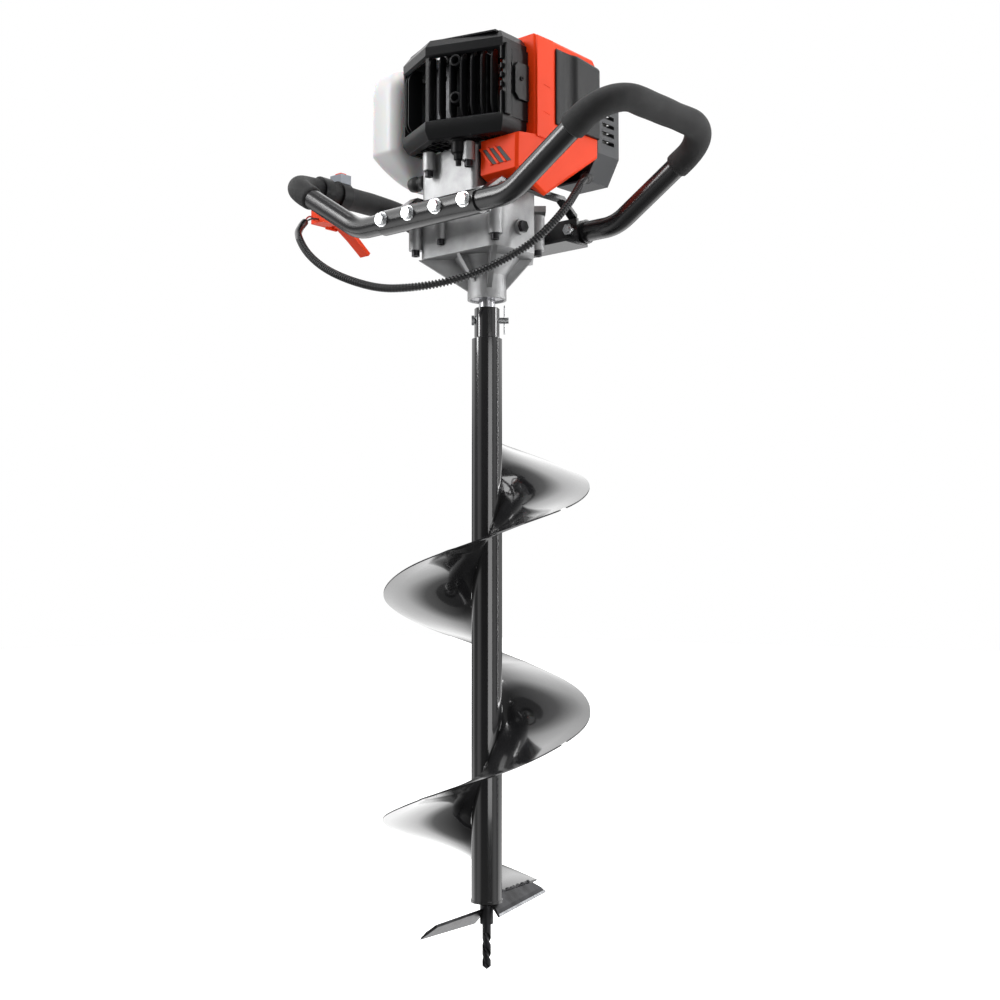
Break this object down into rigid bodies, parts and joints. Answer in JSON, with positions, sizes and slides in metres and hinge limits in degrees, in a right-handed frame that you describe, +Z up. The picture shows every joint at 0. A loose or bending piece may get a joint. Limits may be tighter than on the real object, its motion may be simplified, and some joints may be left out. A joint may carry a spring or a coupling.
{
  "type": "powered earth auger",
  "caption": "Two-handled petrol earth auger: engine and gearbox on a tubular frame, spiral bit with two blades and pilot drill.",
  "frame": {"origin": "tip of the pilot drill, on the bit's axis", "axes": "+Z up along the bit's axis, +X along the handle rails towards the engine cover's side, +Y towards the air filter"},
  "size_m": [0.5665, 0.281, 1.128],
  "materials": {
    "black_gloss": "gloss black paint",
    "bright_steel": "machined steel",
    "dark_steel": "blackened steel",
    "zinc": "zinc plated",
    "cast_aluminium": "cast, satin",
    "orange_plastic": "satin moulded",
    "black_plastic": "matt moulded",
    "grey_plastic": "matt moulded",
    "tank_white": "translucent white",
    "foam": "closed-cell foam",
    "black_rubber": "matt",
    "copper_red": "insulated wire",
    "white_rope": "braided cord",
    "filter_foam": "oiled foam",
    "porcelain": "glazed"
  },
  "bodies": {
    "powerhead": {"bearings": "bright_steel", "gearbox_lower": "cast_aluminium", "bearing_plate": "cast_aluminium", "gearbox_upper": "cast_aluminium", "gearbox_screws": "dark_steel", "clutch_housing": "cast_aluminium", "clutch_shoes": "bright_steel", "crankcase": "cast_aluminium", "crankshaft": "bright_steel", "connecting_rod": "bright_steel", "piston": "cast_aluminium", "cylinder": "cast_aluminium", "spark_plug": "porcelain", "ignition_coil": "black_rubber", "flywheel": "cast_aluminium", "starter_housing": "black_plastic", "starter_rope": "white_rope", "muffler": "bright_steel", "muffler_guard": "black_plastic", "engine_shroud": "orange_plastic", "side_panel": "black_plastic", "carburettor": "cast_aluminium", "air_filter_cover": "grey_plastic", "air_filter_element": "filter_foam", "fuel_tank": "tank_white", "fuel_hose": "black_rubber", "handle_tube_right": "black_gloss", "handle_tube_left": "black_gloss", "grip_right": "foam", "grip_left": "foam", "rail_sleeves": "black_gloss", "mount_plate": "black_gloss", "frame_braces": "black_gloss", "rail_bolts": "zinc", "control_clamps": "black_plastic", "throttle_body": "orange_plastic", "stop_switch": "black_plastic", "conduit": "black_rubber", "control_wires": "copper_red"},
    "bit": {"bit_tube": "black_gloss", "bit_collar": "black_gloss", "flight": "black_gloss", "cutting_blade_right": "dark_steel", "cutting_blade_left": "dark_steel", "pilot_drill": "dark_steel", "cross_pin": "zinc", "r_clip": "zinc", "output_shaft": "bright_steel", "output_gear": "bright_steel"},
    "counter": {"countershaft": "bright_steel", "intermediate_gear": "bright_steel"},
    "drive": {"input_pinion": "bright_steel", "clutch_drum": "bright_steel"},
    "pulley": {"starter_pulley": "black_plastic"},
    "pull_handle": {"starter_handle": "black_plastic"},
    "cap": {"fuel_cap": "black_plastic"},
    "choke": {"choke_lever": "black_plastic"},
    "primer": {"primer_bulb": "black_rubber"},
    "trigger": {"throttle_lever": "orange_plastic"},
    "button": {"stop_button": "orange_plastic"}
  },
  "joints": [
    {"name": "bit_spin", "type": "hinge", "parent": "powerhead", "child": "bit", "pos_m": [0, 0, 0.8], "axis": [0, 0, 1], "continuous": true},
    {"name": "counter_spin", "type": "hinge", "parent": "powerhead", "child": "counter", "pos_m": [-0.033, 0, 0.88], "axis": [0, 0, 1], "continuous": true},
    {"name": "drive_spin", "type": "hinge", "parent": "powerhead", "child": "drive", "pos_m": [0, 0, 0.9], "axis": [0, 0, 1], "continuous": true},
    {"name": "starter_pull", "type": "slide", "parent": "powerhead", "child": "pull_handle", "axis": [0, 1, 0], "range_m": [0, 0.5], "stiffness_N_per_m": 4, "springref_m": -0.3, "deforming": ["starter_rope"]},
    {"name": "pulley_turn", "type": "hinge", "parent": "powerhead", "child": "pulley", "pos_m": [0, 0, 1.0985], "axis": [0, 0, 1], "range_deg": [-1400, 1]},
    {"name": "fuel_cap_turn", "type": "hinge", "parent": "powerhead", "child": "cap", "pos_m": [-0.115, 0.03, 1.118], "axis": [0, 0, 1], "continuous": true},
    {"name": "choke_turn", "type": "hinge", "parent": "powerhead", "child": "choke", "pos_m": [0.03, 0.078, 1.03], "axis": [1, 0, 0], "range_deg": [0, 60]},
    {"name": "primer_press", "type": "slide", "parent": "powerhead", "child": "primer", "axis": [0, 0, 1], "range_m": [0, 0.003], "stiffness_N_per_m": 400, "springref_m": -0.001},
    {"name": "throttle_squeeze", "type": "hinge", "parent": "powerhead", "child": "trigger", "pos_m": [-0.263, -0.01, 0.9455], "axis": [1, 0, 0], "range_deg": [0, 30], "stiffness_Nm_per_rad": 0.05, "springref_deg": -22.92},
    {"name": "stop_press", "type": "slide", "parent": "powerhead", "child": "button", "axis": [0, 0, -1], "range_m": [0, 0.002], "stiffness_N_per_m": 300, "springref_m": -0.001}
  ],
  "couplings": [
    {"joint": "counter_spin", "follows": "bit_spin", "ratio": -5},
    {"joint": "drive_spin", "follows": "bit_spin", "ratio": 25},
    {"joint": "pulley_turn", "follows": "starter_pull", "rad_per_m": -45.455}
  ]
}
